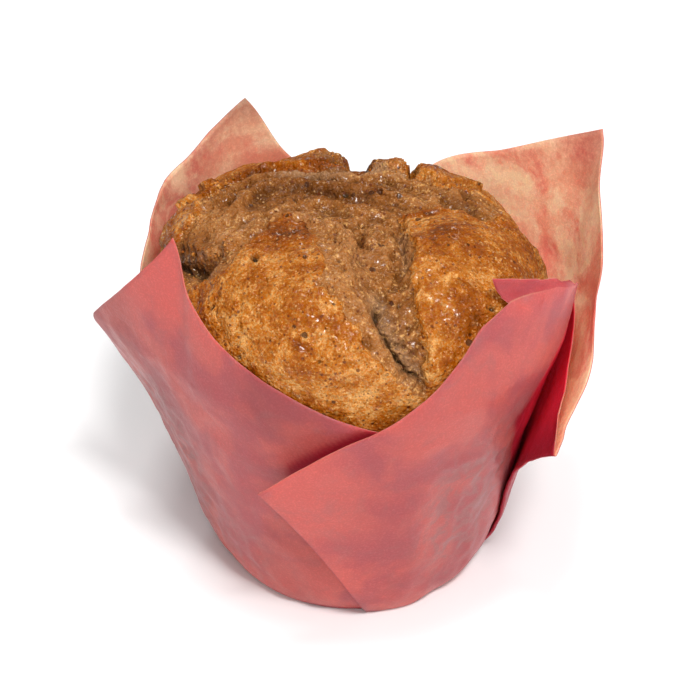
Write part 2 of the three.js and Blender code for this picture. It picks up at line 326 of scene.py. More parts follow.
class Effects:
    """The shader groups that the finishes use."""

    def __init__(self) -> None:
        """Builds each group once."""
        self.specks = self._specks()
        self.grain = self._grain()
        self.fibre = self._fibre()

    def _specks(self) -> Tree:
        """Scattered ragged specks of uneven size: 1 on a speck and 0 beside it."""
        made = GroupSketch("Specks", {"Place": None, "Size": 1.0, "Share": 0.3}, ["Mask"])
        place, size = made.given["Place"], made.given["Size"]
        wander = made.texture(place, made.math("DIVIDE", 4.0, size), 3.0)
        moved = made.node("ShaderNodeVectorMath", operation="MULTIPLY_ADD")
        for socket, value in zip(moved.inputs, (wander.outputs["Color"], (0.5, 0.5, 0.5), place)):
            made.feed(socket, value)
        cells = made.node("ShaderNodeTexVoronoi")
        made.fill(cells, Vector=moved.outputs[0], Scale=made.math("DIVIDE", 1.0, size))
        pick = made.fill(made.node("ShaderNodeSeparateColor"), Color=cells.outputs["Color"])
        chosen = made.math("LESS_THAN", pick.outputs["Red"], made.given["Share"])
        reach = made.total(0.16, (made.math("POWER", pick.outputs["Green"], 2.0), 0.28))
        soft = made.ease(made.math("SUBTRACT", reach, cells.outputs["Distance"]), -0.03, 0.05)
        made.feed(made.result["Mask"], made.times(soft, chosen))
        return made.tree

    def _grain(self) -> Tree:
        """Baked grain: rounded beads over low lumps, as a height, and a finer dust as a tone."""
        made = GroupSketch("Baked grain", {"Place": None, "Bead": 0.7}, ["Height", "Tone"])
        place = made.given["Place"]
        scale = made.math("DIVIDE", 1.0, made.given["Bead"])
        beads, lumps = (
            made.texture(place, made.times(scale, share), 1.0, 0.5, 0.4).outputs["Fac"]
            for share in (1.0, 0.35)
        )
        dust = made.texture(place, made.times(scale, 1.3), 3.0, 0.65).outputs["Fac"]
        made.feed(made.result["Height"], made.total(0.0, (beads, 1.0), (lumps, 1.7)))
        made.feed(made.result["Tone"], made.math("SUBTRACT", dust, 0.5))
        return made.tree

    def _fibre(self) -> Tree:
        """Paper fibre: short pale threads and a fine tooth, as a height and as a tone."""
        made = GroupSketch("Paper fibre", {"Place": None, "Size": 0.35}, ["Height", "Tone"])
        place, size = made.given["Place"], made.given["Size"]
        tooth = made.texture(place, made.math("DIVIDE", 1.0, size)).outputs["Fac"]
        threads = made.texture(place, made.math("DIVIDE", 0.3, size), 3.0, 0.5, 2.5)
        thread = made.ease(threads.outputs["Fac"], 0.56, 0.66)
        made.feed(made.result["Height"], made.total(tooth, (thread, 0.4)))
        made.feed(made.result["Tone"], made.total(made.ease(tooth, 0.4, 0.7), (thread, 0.5)))
        return made.tree

    def dots(self, made: Sketch, place: Socket, size: float, share: object, strength: float) -> Socket:
        """Specks on a sketch, as a mask that is strength on a speck."""
        mask = made.group(self.specks, Place=place, Size=size, Share=share).outputs["Mask"]
        return made.times(mask, strength)


# ---- Finishes ----


@dataclass(frozen=True)
class BakedFinish:
    """Muffin: golden to deep brown crust, torn tan crumb, painted shade in clefts and hollows, dark specks
    and a wet gloss.
    """

    pale: Colour = (0.66, 0.32, 0.095)
    golden: Colour = (0.43, 0.130, 0.010)
    amber: Colour = (0.250, 0.052, 0.000)
    toasted: Colour = (0.085, 0.020, 0.001)
    crumb_light: Colour = (0.46, 0.20, 0.066)
    crumb: Colour = (0.26, 0.084, 0.014)
    crumb_shade: Colour = (0.090, 0.024, 0.002)
    glint: Colour = (0.80, 0.48, 0.22)
    flake: Colour = (0.80, 0.43, 0.14)
    ash: Colour = (0.36, 0.190, 0.088)
    # Painted shade in clefts, grooves and pits.
    cleft_shade: Colour = (0.045, 0.020, 0.006)
    speck: Colour = (0.040, 0.011, 0.004)
    fleck: Colour = (0.10, 0.018, 0.006)
    # How wide they are in millimetres: browned patches, mottles, flakes, flecks, glints, specks, beads.
    patch: float = 9.0
    mottle: float = 2.4
    flake_size: float = 1.0
    fleck_size: float = 0.9
    glint_size: float = 0.66
    speck_size: float = 1.9
    bead: float = 0.58

    def material(self, effects: Effects) -> Material:
        """Builds the material.

        Args:
            effects: the shared shader groups.

        Returns:
            A material that reads the muffin's crumb, toast, cleft, hollow and ash attributes.
        """
        made = MaterialSketch(
            "Baked crust and crumb",
            Subsurface_Weight=0.04,
            Subsurface_Radius=(1.0, 0.4, 0.15),
            Subsurface_Scale=0.8 * MM,
            Specular_IOR_Level=0.13,
            Coat_Roughness=0.16,
            Coat_IOR=1.4,
        )
        place = made.millimetres()
        grain = made.group(effects.grain, Place=place, Bead=self.bead)
        dust = grain.outputs["Tone"]
        patches = made.noise(place, self.patch, 3.0, 0.6, 0.8)
        mottles = made.math("SUBTRACT", made.noise(place, self.mottle, 4.0, 0.65), 0.5)
        torn = made.ease(made.total(made.attribute("crumb"), (mottles, 0.7)), 0.4, 0.6)
        toast_and_shade, hollow_shade = made.attribute("toast_and_shade"), made.attribute("hollow_shade")

        brown = made.total(made.math("SUBTRACT", toast_and_shade, 0.38), (patches, 1.9), (mottles, 1.9), (dust, 3.0))
        crust = made.layers(
            self.pale,
            (made.ease(brown, 0.0, 0.55), self.golden),
            (made.ease(brown, 0.5, 1.1), self.amber),
            (made.ease(brown, 1.15, 1.9), self.toasted),
        )
        # The crumb darkens with browning, mottles and grain, and with painted shade.
        dim = made.total(made.times(hollow_shade, 0.5), (toast_and_shade, 0.8), (mottles, 1.1), (dust, 3.4))
        crumb = made.layers(
            self.crumb_light,
            (made.ease(dim, -0.35, 0.35), self.crumb),
            (made.ease(dim, 0.3, 1.3), self.crumb_shade),
        )
        grey = made.ease(made.attribute("ash"), 0.0, 1.0, (0.0, 0.8))
        colour = made.layers(crust, (torn, crumb), (grey, self.ash))
        # The grain's tone, with painted shade darkening the hollows.
        tone = made.times(made.ease(dust, -0.2, 0.2, (0.62, 1.3)), made.ease(hollow_shade, 0.3, 1.0, (1.0, 0.75)))
        colour = made.mix(1.0, colour, tone, "MULTIPLY")
        flakes = made.ease(made.noise(place, self.flake_size, 4.0, 0.68, 0.5), 0.52, 0.68, (0.0, 0.6))
        flecked = made.ease(patches, 0.3, 0.6, (0.55, 0.35))
        glinting = made.ease(patches, 0.35, 0.7, (0.4, 0.12))
        # Painted shade in the clefts, then flecks, flakes, glints and specks.
        colour = made.layers(
            colour,
            (made.ease(made.attribute("cleft_shade"), 0.15, 0.9), self.cleft_shade),
            (effects.dots(made, place, self.fleck_size, flecked, 0.75), self.fleck),
            (made.times(flakes, made.ease(brown, 0.4, 1.2, (1.0, 0.15))), self.flake),
            (effects.dots(made, place, self.glint_size, glinting, 0.4), self.glint),
            (effects.dots(made, place, self.speck_size, 0.06, 0.8), self.speck),
        )

        wet = made.total(made.noise(place, 1.8, 3.0, 0.7), (patches, -0.4))
        rough = made.ease(wet, 0.14, 0.3, (0.65, 0.08))
        grazing = made.node("ShaderNodeLayerWeight", label="grazing").outputs["Facing"]
        rough = made.math("MAXIMUM", rough, made.ease(grazing, 0.45, 0.85, (0.0, 1.0)))
        normal = made.bump(grain.outputs["Height"], 0.5)
        film = made.ease(made.noise(place, 1.1, 2.0, 0.6, 0.5), 0.53, 0.63, (0.0, 0.8))
        return made.finish(Base_Color=colour, Roughness=rough, Coat_Weight=film, Normal=normal)


@dataclass(frozen=True)
class PaperFinish:
    """Greaseproof paper: one of the sheet's faces, or its cut edge."""

    name: str
    front: Front
    main: Colour
    blush: Colour
    # Pale patches of rubbed paper, and on the printed side painted sheen.
    haze: Colour
    # The print in painted shade, and on the bare side the colour towards the tips.
    deep: Colour = (0.34, 0.012, 0.028)
    edge: Colour = (0.62, 0.30, 0.19)
    rough: float = 0.5
    # How wide they are in millimetres: clouds, blots, streaks of rubbing and painted sheen, fibres and dents.
    cloud: float = 17.0
    blot: float = 6.0
    streak: float = 4.0
    fibre: float = 0.4
    dent: float = 7.0

    def material(self, effects: Effects) -> Material:
        """Builds the material.

        Args:
            effects: the shared shader groups.

        Returns:
            A material that reads the sheet's worn, dull, shade, tip and rim attributes.
        """
        made = MaterialSketch(
            self.name,
            Specular_IOR_Level=0.22,
            Subsurface_Weight=0.6,
            Subsurface_Radius=(1.0, 0.3, 0.22),
            Subsurface_Scale=0.8 * MM,
        )
        place = made.millimetres()
        fibre = made.group(effects.fibre, Place=place, Size=self.fibre)
        clouds = made.noise(place, self.cloud, 3.0, 0.55, 0.6)
        blots = made.noise(place, self.blot, 4.0, 0.6, 0.5)
        colour = made.mix(made.ease(clouds, 0.38, 0.64), self.main, self.blush)
        # Rubbed paper goes pale in streaks and blots; on the printed side these also paint sheen.
        streaks = made.ease(made.noise(place, self.streak, 4.0, 0.6, 1.2), 0.42, 0.62)
        pale = made.times(made.attribute("worn_and_sheen"), made.ease(streaks, 0.0, 1.0, (0.35, 1.0)))
        pale = made.math("MAXIMUM", pale, made.ease(blots, 0.5, 0.75, (0.0, 0.4)))
        if self.front is Front.BARE:
            bloom = made.noise(place, 15.0, 6.0, 0.55, 0.9)
            cream = made.total(bloom, (made.noise(place, 1.3, 3.0, 0.6), 0.3))
            pale = made.math("MAXIMUM", pale, made.ease(cream, 0.5, 0.84))
            rise = made.fill(made.node("ShaderNodeSeparateXYZ"), Vector=place)
            high = made.ease(rise.outputs["Z"], 72.0, 90.0)
            pale = made.times(pale, made.ease(high, 0.0, 1.0, (1.0, 0.5)))
            colour = made.mix(made.times(high, 0.75), colour, self.deep)
        colour = made.mix(pale, colour, self.haze)
        if self.front is Front.PRINTED:
            # The turned tip gets painted shade in the deep colour, and a thin line of cut edge along its
            # crease.
            past = made.attribute("tip")
            turned = made.ease(past, -0.1, 0.15, (0.0, 0.5))
            line = made.times(made.ease(made.math("ABSOLUTE", past), 0.2, 0.05), made.attribute("rim"))
            shade = made.math("MAXIMUM", made.attribute("shade"), turned)
            colour = made.layers(colour, (shade, self.deep), (line, self.edge))
        # Painted shade darkens the colour; on the printed side, negative values are painted light that
        # brightens it.
        painted_shading = made.attribute("painted_shading")
        if self.front is not Front.PRINTED:
            painted_shading = made.math("MAXIMUM", painted_shading, 0.0)
        tone = made.ease(fibre.outputs["Tone"], 0.0, 1.5, (0.93, 1.12))
        colour = made.mix(1.0, colour, made.times(tone, made.math("SUBTRACT", 1.0, painted_shading)), "MULTIPLY")
        rough = made.ease(blots, 0.35, 0.7, (self.rough - 0.08, self.rough + 0.1))
        normal = made.bump(made.noise(place, self.dent, 4.0, 0.55, 0.4), 0.35)
        normal = made.bump(fibre.outputs["Height"], 0.03, Normal=normal)
        return made.finish(Base_Color=colour, Roughness=rough, Normal=normal)


@dataclass(frozen=True)
class FloorFinish:
    """Matt white studio board with a faint grain."""

    white: Colour = (0.92, 0.92, 0.92)

    def material(self) -> Material:
        """Builds the material."""
        made = MaterialSketch("Studio board", Roughness=0.9, Specular_IOR_Level=0.1)
        tone = made.ease(made.noise(made.millimetres(), 40.0), 0.3, 0.7, (0.985, 1.0))
        return made.finish(Base_Color=made.mix(1.0, self.white, tone, "MULTIPLY"))


# ---- The case ----


@dataclass(frozen=True)
class Cup:
    """The plain cup that the sheet is pressed round: a flat base, a rounded heel and a lean wall."""

    base_radius: float = 26.2
    heel: float = 2.9
    heel_height: float = 4.0
    flare: float = 0.223
    hug_height: float = 58.0

    def radius(self, z: Array) -> Array:
        """Radius at a height."""
        rounded = self.heel * (1.0 - np.exp(-z / self.heel_height))
        return self.base_radius + rounded + self.flare * np.minimum(z, self.hug_height)


@dataclass(frozen=True)
class Rib:
    """One rib of a petal, from the base's rim to the cut edge.

    The top is at az, r and z. foot is its azimuth on the rim, bend says how late it leaves the
    cup's wall on its way out, and layers is how many layers of paper lie under it.
    """

    az: float
    r: float
    z: float
    foot: float
    bend: float
    layers: int = 0


BACK_RIGHT = (
    Rib(84, 43.2, 56.5, 87, 1.3),
    Rib(65, 44.8, 71, 66, 1.4),
    Rib(47, 47, 77.3, 50, 1.5),
    Rib(22, 56, 90, 32, 1.6),
    Rib(14, 52.7, 78.5, 25, 1.6),
    Rib(4, 51.6, 71, 18, 1.8, 1),
    Rib(-18, 51.5, 58.5, 4, 2.4, 2),
    Rib(-31, 50.3, 48.3, -1, 4.2, 2),
    Rib(-41, 53.6, 46.8, -9, 4.4, 2),
)
FRONT_RIGHT = (
    Rib(3, 45.3, 62, -3, 2.1),
    Rib(-20, 46.7, 75.5, -18, 3),
    Rib(-47, 40.4, 84.5, -34, 6),
    Rib(-53, 40.8, 76.5, -41, 6),
    Rib(-63, 42.5, 68.7, -52, 3),
    Rib(-78, 43.8, 61, -64, 2.4, 2),
    Rib(-94, 44.4, 54.7, -75, 2, 2),
    Rib(-115, 45.2, 41.4, -84, 1.5, 2),
)
FRONT_LEFT = (
    Rib(-80, 42.2, 56.4, -78, 1),
    Rib(-105, 42.2, 63.5, -98, 1),
    Rib(-122, 42.3, 69.7, -112, 1),
    Rib(-140, 42.3, 78.5, -126, 1),
    Rib(-148, 42, 90, -137, 3),
    Rib(-157, 46.3, 79.3, -154, 2.5),
    Rib(-171, 50.7, 66.3, -168, 2.4, 2),
    Rib(-188, 54.6, 49.8, -177, 2.2, 2),
)
BACK_LEFT = (
    Rib(-160, 43.2, 58, -171, 1.3),
    Rib(-200, 46.3, 66.5, -198, 1.5),
    Rib(-211, 48, 73.2, -208, 1.5),
    Rib(-223, 48, 76.8, -219, 1.5),
    Rib(-242, 50, 84.5, -235, 1.5),
    Rib(-251, 44.8, 71.8, -245, 1.4),
    Rib(-276, 45.6, 58.5, -270, 1.6, 2),
    Rib(-302, 46.8, 50, -279, 1.8, 2),
)


@dataclass
class Strip:
    """A strip of the wall on cylindrical coordinates: a row for each height, the rim first."""

    az: Array
    r: Array
    z: Array

    def turned(self, degrees: float) -> "Strip":
        """The same strip with its azimuths counted on by whole turns."""
        return Strip(self.az + degrees, self.r, self.z)

    def points(self) -> Array:
        """The strip's points."""
        return polar(self.az, self.r, self.z)


@dataclass(frozen=True)
class Crumple:
    """A round patch of the wall: crumpled and rubbed pale with painted sheen, or darkened with painted shade.
    """

    az: float
    z: float
    spread: float  # degrees
    reach: float
    strength: float


@dataclass
class TulipCase:
    """The paper case: one square sheet with four petals and a folded pleat between each two."""

    cup: Cup
    petals: tuple[tuple[Rib, ...], ...] = (BACK_RIGHT, FRONT_RIGHT, FRONT_LEFT, BACK_LEFT)
    sheet_reach: float = 90.0  # wall from the rim to a petal's tip
    paper: float = 0.2
    fold: float = 0.6  # between the middles of two layers in a pleat
    rows: int = 84
    petal_columns: int = 96
    pleat_columns: int = 14
    nose_columns: int = 3
    crowding: float = 1.4  # rows lie closer together round the heel
    station_power: float = 0.8
    overshoot: float = 1.3  # how far past its top a rib's bend goes on
    see_through: float = 1.2  # how much painted light brightens a layer, as if light came through it from behind
    filled: float = 62.0  # height up to which the muffin fills the case
    give: float = 0.45  # how deep a dent goes against the muffin
    glow: float = 0.22  # how much painted glow, in the print's deep colour, lies along a flap's edge
    glow_reach: float = 10.0
    pinch_az: float = -97.0  # the pinch of crimson paper under the front of the base
    pinch_spread: float = 9.0
    pinch_height: float = 1.9
    # Crumpled patches, rubbed pale, with painted sheen on the print.
    crumples_with_sheen: tuple[Crumple, ...] = (
        Crumple(-48, 27, 30, 30, 0.9),
        Crumple(-38, 44, 14, 16, 0.6),
        Crumple(-168, 30, 24, 34, 0.9),
        Crumple(-140, 14, 24, 14, 0.5),
        Crumple(150, 30, 20, 26, 0.7),
        Crumple(96, 22, 30, 24, 0.8),
        Crumple(38, 34, 26, 30, 0.8),
        Crumple(150, 74, 16, 20, 0.6),
    )
    # Patches darkened with painted shade.
    painted_shading: tuple[Crumple, ...] = (
        Crumple(112, 92, 50, 21, 0.5),
        Crumple(122, 66, 50, 60, 0.28),
        Crumple(-108, 62, 22, 16, 0.24),
        Crumple(-178, 62, 22, 24, 0.26),
        Crumple(-60, 40, 50, 60, 0.12),
        Crumple(-170, 34, 34, 44, 0.16),
        Crumple(-114, 12, 20, 20, 0.14),
    )

    # The turned tip's crease, by azimuth and height, and how far its rim slides, by height over the crease.
    tip_crease: tuple[Plan, ...] = ((-40, 77.6), (-30, 77), (-17, 73.6))
    tip_slide: tuple[Plan, ...] = ((-4.6, 0), (-2.2, 1.5), (-1, 5.5), (0, 11), (7.2, 0))
    tip_az: float = -36.0
    tip_spread: float = 26.0
    tip_snap: float = 0.7  # rows nearer than this to the crease are brought onto it
    tip_inward: float = 1.1  # how far in the turned tip lies
    tip_soft: float = 0.7  # way past the crease over which it goes in
    unrolled: float = 38.0  # radius at which the wall is unrolled for its creases

    def petal_strip(self, ribs: Sequence[Rib]) -> Strip:
        """Sweeps a petal's wall through its ribs.

        Args:
            ribs: the petal's ribs, clockwise seen from above.

        Returns:
            The petal as a strip.
        """
        az, r, z, foot, bend, layers = np.array([astuple(rib) for rib in ribs]).T
        lift = layers * self.fold
        gaps = np.linalg.norm(np.diff(polar(az, r, z), axis=0), axis=1)
        stations = np.concatenate([[0.0], np.cumsum(gaps**self.station_power)])
        reach = np.hypot(r - self.cup.base_radius, z) / self.sheet_reach
        tip = int(np.argmax(reach))
        u = np.linspace(0.0, stations[-1], self.petal_columns + 1)
        u[np.argmin(np.abs(u - stations[tip]))] = stations[tip]
        before = curve_weights(stations[: tip + 1], u) @ reach[: tip + 1]
        after = curve_weights(stations[tip:], u) @ reach[tip:]
        edge = np.where(u < stations[tip], before, after)
        weights = curve_weights(stations, u)
        rise = np.linspace(0.0, 1.0, self.rows + 1) ** self.crowding
        along = rise[:, None] * edge[None, :]
        share = np.minimum(along[None] / reach[:, None, None], self.overshoot)
        azimuths = foot[:, None, None] + (az - foot)[:, None, None] * along[None] / reach[:, None, None]
        out = (r - self.cup.radius(z) - lift)[:, None, None]
        offsets = lift[:, None, None] + out * share ** bend[:, None, None]
        height = along * (weights @ (z / reach))[None, :]
        return Strip(
            np.einsum("cn,njc->jc", weights, azimuths),
            self.cup.radius(height) + np.einsum("cn,njc->jc", weights, offsets),
            height,
        )

    def standoff(self, strip: Strip, az: Array, z: Array) -> tuple[Array, Array]:
        """Measures how far a strip stands off the plain cup at some places.

        Args:
            strip: the strip to measure.
            az: azimuths of the places.
            z: their heights.

        Returns:
            The strip's distance off the cup, and the azimuth where it starts, at each place.
        """
        off = strip.r - self.cup.radius(strip.z)
        columns = [
            (np.interp(z, strip.z[:, k], strip.az[:, k]), np.interp(z, strip.z[:, k], off[:, k]))
            for k in range(strip.az.shape[1])
        ]
        start = columns[0][0]
        found = np.where(az >= start, columns[0][1], columns[-1][1])
        for (near_az, near_off), (far_az, far_off) in zip(columns[:-1], columns[1:]):
            within = (az < near_az) & (az >= far_az)
            t = (near_az - az) / np.maximum(near_az - far_az, 1e-6)
            found = np.where(within, near_off + t * (far_off - near_off), found)
        return found, start

    def held_clear(self, petal: Strip, following: Strip) -> Strip:
        """Holds a petal's flap clear of the next petal, by the two layers that lie between."""
        off, start = self.standoff(following, petal.az, petal.z)
        least = self.cup.radius(petal.z) + off + 2.0 * self.fold
        return Strip(petal.az, np.where(petal.az > start, petal.r, np.maximum(petal.r, least)), petal.z)

    def pleat_strip(self, petal: Strip, following: Strip) -> Strip:
        """Makes the layer folded back from a petal's outer crease to the next one's inner crease."""
        share = np.linspace(0.0, 1.0, self.pleat_columns + 1)[None, :]
        az = petal.az[:, -1:] + (following.az[:, :1] - petal.az[:, -1:]) * share
        z = petal.z[:, -1:] + (following.z[:, :1] - petal.z[:, -1:]) * share
        above = self.standoff(petal, az, z)[0] - self.fold
        below = self.standoff(following, az, z)[0] + self.fold
        return Strip(az, self.cup.radius(z) + above + (below - above) * share, z)

    def nose(self, before: Array, after: Array) -> Array:
        """Rounds a crease between the last column of one strip and the first of the next."""
        end, start = before[:, -1], after[:, 0]
        onward = end - before[:, -2]
        onward /= np.linalg.norm(onward, axis=1, keepdims=True)
        half = (start - end) / 2.0
        bulge = onward * np.linalg.norm(half, axis=1, keepdims=True)
        turns = np.pi * np.arange(1, self.nose_columns + 1) / (self.nose_columns + 1)
        columns = [end + half * (1.0 - math.cos(t)) + bulge * math.sin(t) for t in turns]
        return np.stack(columns, axis=1)

    def middle_surface(self) -> tuple[Array, Array]:
        """Lays out the whole sheet's wall.

        Returns:
            Its points by row and column, and the petal that each column belongs to, or -1.
        """
        raw = [self.petal_strip(ribs) for ribs in self.petals]
        strips: list[Array] = []
        owners: list[int] = []
        for i, petal in enumerate(raw):
            following = raw[(i + 1) % len(raw)]
            turns = round((petal.az[0, -1] - following.az[0, 0]) / 360.0)
            following = following.turned(360.0 * turns)
            petal = self.held_clear(petal, following)
            strips += [petal.points(), self.pleat_strip(petal, following).points()]
            owners += [i, -1]
        blocks: list[Array] = []
        marks: list[int] = []
        for i, strip in enumerate(strips):
            nose = self.nose(strip, strips[(i + 1) % len(strips)])
            blocks += [strip, nose]
            marks += [owners[i]] * strip.shape[1] + [-1] * nose.shape[1]
        return np.concatenate(blocks, axis=1), np.array(marks)

    def spotted(self, points: Array, spots: Sequence[Crumple]) -> Array:
        """How much of some patches of crumpling and painted sheen, or of painted shade, is felt at some
        points.
        """
        az = azimuth(points)
        spot_share = np.zeros(points.shape[:-1])
        for spot in spots:
            near = 1.0 - np.hypot(wrapped(az - spot.az) / spot.spread, (points[..., 2] - spot.z) / spot.reach)
            spot_share = np.maximum(spot_share, spot.strength * smooth(near * 1.6))
        return spot_share

    def creases(self, points: Array, spot_share: Array) -> Array:
        """Radial dents and flutes of the pressed, handled paper, the same for layers that touch.

        Args:
            points: places on the wall, one a row.
            spot_share: how crumpled the paper is at each.

        Returns:
            How far each point moves out.
        """
        spread = polar(azimuth(points), self.unrolled, points[:, 2])
        soft = noise_field(spread, 15.0, 2, 1)
        folds = 1.0 - 2.0 * np.abs(noise_field(spread, 11.0, 2, 2))
        crinkle = 1.0 - 2.0 * np.abs(noise_field(spread, 4.5, 2, 4))
        flutes = noise_field(spread * (1.0, 1.0, 0.15), 4.0, 1, 3)
        low = 1.0 - smooth(points[:, 2] / 24.0)
        started = smooth(points[:, 2] / 5.0)
        dents = 0.45 * soft + (0.14 + 0.4 * spot_share) * (folds - 0.4) + (0.03 + 0.22 * spot_share) * (crinkle - 0.4)
        dents += (0.1 + 0.25 * low) * flutes
        held = np.maximum(dents, -self.give + 0.15 * dents)
        dents = np.where(points[:, 2] < self.filled, held, dents)
        return started * dents

    def shade(self, points: Array, owners: Array) -> Array:
        """Painted shade in the print's deep colour: in a pleat and under a flap's edge, and a painted glow
        along a flap's cut edge.

        Args:
            points: the wall by row and column.
            owners: the petal that each column belongs to, or -1.

        Returns:
            One value for each point.
        """
        az = azimuth(points)
        deep = np.zeros(points.shape[:2])
        deep[:, owners < 0] = 1.0
        for i in range(len(self.petals)):
            flap = np.flatnonzero(owners == i)
            below = np.flatnonzero(owners == (i + 1) % len(self.petals))
            last = flap[-1]
            turn = wrapped(az - az[-1, last])  # degrees back from the flap's corner
            edge = flap[len(flap) // 2 :]
            lid = np.interp(turn[:, below], turn[-1, edge][::-1], points[-1, edge, 2][::-1])
            side = turn[:, below] - np.interp(points[:, below, 2], points[:, last, 2], turn[:, last])
            above = points[:, below, 2] - lid
            # Painted shadow of the flap on the petal below, beside its crease and under its edge.
            under = smooth(side / 3.0 - 1.2) * smooth(0.7 - above / 2.8) * (turn[:, below] < 90.0)
            spots = points[:, below].reshape(-1, 1, 3)
            to_edge = np.linalg.norm(spots - points[-1, edge][None], axis=2).min(axis=1)
            # A painted glow, for light coming through the flap, along its cut edge.
            glow = self.glow * smooth(1.1 - to_edge / self.glow_reach).reshape(above.shape) if i else 0.0
            deep[:, below] = np.maximum(under, glow)
        # Painted shade on the back right petal's flap in the right-hand pleat.
        turned = (owners == 0)[None, :] & (np.abs(az) < 90.0)
        deep = np.where(turned, np.maximum(deep, smooth((10.0 - az) / 10.0)), deep)
        beside = np.abs(az - self.pinch_az) / self.pinch_spread
        return np.maximum(deep, 0.8 * smooth(self.pinch_height - points[..., 2]) * smooth(2.0 - beside))

    def lit_through(self, points: Array, owners: Array, deep: Array) -> Array:
        """How much painted light brightens the single layer behind the right-hand pleat's gap, as if light
        came through it.
        """
        az = azimuth(points)
        inner = np.where(owners == 0, 0.0, 1.0)[None, :] * (az < 28.0)
        return deep * inner * smooth((az + 37.0) / 15.0) * smooth((points[..., 2] - 24.0) / 16.0)

    def turn_tip(self, points: Array, owners: Array) -> tuple[Array, Array]:
        """Turns the front right petal's tip back over a crease, which bares a line of its edge.

        Args:
            points: the wall by row and column, changed in place.
            owners: the petal that each column belongs to, or -1.

        Returns:
            How far past the crease each point lies in millimetres, and how much the edge shows.
        """
        az = azimuth(points)
        mine = (owners == 1)[None, :] & (np.abs(az - self.tip_az) < self.tip_spread)
        over = points[..., 2] - np.interp(az, *zip(*self.tip_crease))
        nearest = np.argmin(np.abs(over), axis=0)
        rows = np.arange(len(points))[:, None] - nearest[None, :]
        gap = np.take_along_axis(over, nearest[None, :], axis=0)
        gap = np.where(np.abs(gap) < self.tip_snap, gap * np.exp(-((rows / 2.5) ** 2)), 0.0)
        points[..., 2] -= np.where(mine, gap, 0.0)
        over = np.where(mine, over - gap, -9.0)
        slid = np.interp(over, *zip(*self.tip_slide))
        turn = np.where(mine, slid * np.clip((-18.0 - az) / 34.0, 0.0, 1.0), 0.0)
        r = np.hypot(points[..., 0], points[..., 1])
        inward = r - self.tip_inward * smooth(over / self.tip_soft)
        points[..., :2] = np.where(mine[..., None], polar(az + turn, inward, r)[..., :2], points[..., :2])
        return np.clip(over, -5.0, 5.0), 0.4 * smooth((-az - turn - 28.0) / 8.0)

    def build(self) -> Piece:
        """Builds the case.

        Returns:
            The case as one sheet with its thickness, in metres.
        """
        points, owners = self.middle_surface()
        rows, columns = points.shape[:2]
        deep = self.shade(points, owners)
        tip, rim = self.turn_tip(points, owners)
        spot_share = self.spotted(points, self.crumples_with_sheen)
        painted_shading = self.spotted(points, self.painted_shading) - self.see_through * self.lit_through(points, owners, deep)
        marks = {"shade": deep, "worn_and_sheen": spot_share, "painted_shading": painted_shading, "tip": tip, "rim": rim}
        flat = points.reshape(-1, 3)
        outward = flat * (1.0, 1.0, 0.0)
        outward /= np.linalg.norm(outward, axis=1, keepdims=True)
        flat = flat + outward * self.creases(flat, spot_share.ravel())[:, None]
        flat[:, 2] += self.paper / 2.0

        shape = bmesh.new()
        bmesh.ops.create_grid(shape, x_segments=columns, y_segments=rows - 1, size=1.0)
        layers = {name: shape.verts.layers.float.new(name) for name in marks}
        for rank, vert in enumerate(shape.verts):
            row, column = divmod(rank, columns + 1)
            vert.co = flat[row * columns + column % columns]
            for name, layer in layers.items():
                vert[layer] = float(marks[name][row, column % columns])
        bmesh.ops.remove_doubles(shape, verts=shape.verts, dist=1e-5)
        rim = [edge for edge in shape.edges if edge.is_boundary and edge.verts[0].co.z < self.paper]
        bmesh.ops.triangle_fill(shape, use_beauty=True, use_dissolve=False, edges=rim)
        bmesh.ops.recalc_face_normals(shape, faces=shape.faces)
        down = [face for face in shape.faces if max(v.co.z for v in face.verts) < self.paper]
        if sum(face.normal.z for face in down) > 0.0:
            bmesh.ops.reverse_faces(shape, faces=shape.faces)
        bmesh.ops.scale(shape, vec=(MM, MM, MM), verts=shape.verts)
        piece = piece_from(shape, "tulip_case")
        skin = piece.modifiers.new("paper", "SOLIDIFY")
        skin.thickness = self.paper * MM
        skin.offset = 0.0
        skin.use_even_offset = False
        skin.material_offset = 1
        skin.material_offset_rim = 2
        return piece

    def dress(self, piece: Piece, finishes: Sequence[Material]) -> None:
        """Gives the case its printed outside, bare inside and cut edge, and puts it on the part."""
        for finish in finishes:
            piece.data.materials.append(finish)
        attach(piece, "root")
        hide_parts("paper_case")


# ---- The muffin ----


@dataclass(frozen=True)
class Swell:
    """A rounded swelling, or a dip where its height is negative, on the flat map."""

    at: Plan
    reach: Plan
    height: float
    turn: float = 0.0
    edge: float = 1.0  # how square its shoulder is

    def height_at(self, places: Array) -> Array:
        """How high it stands at some places."""
        c, s = math.cos(math.radians(self.turn)), math.sin(math.radians(self.turn))
        away = places - self.at
        x = (away[:, 0] * c + away[:, 1] * s) / self.reach[0]
        y = (away[:, 1] * c - away[:, 0] * s) / self.reach[1]
        return self.height * smooth((1.0 - np.hypot(x, y)) * self.edge)


@dataclass(frozen=True)
class Ridge:
    """A ridge, or a groove where its height is negative, along a path on the flat map."""

    path: tuple[Plan, ...]
    width: float
    height: float
    sharp: float = 2.0  # 2 is a round profile, and 1 a sharp one
    dark: float = 0.0  # how much painted shade darkens it, as in clefts

    def share_at(self, places: Array) -> Array:
        """How much of it is felt at some places, from 0 to 1."""
        away, share = distance_to_path(places, self.path)
        ends = smooth(share / 0.2 + 0.3) * smooth((1.0 - share) / 0.2 + 0.3)
        return ends * np.exp(-((away / self.width) ** self.sharp))

    def height_at(self, places: Array) -> Array:
        """How high it stands at some places."""
        return self.height * self.share_at(places)


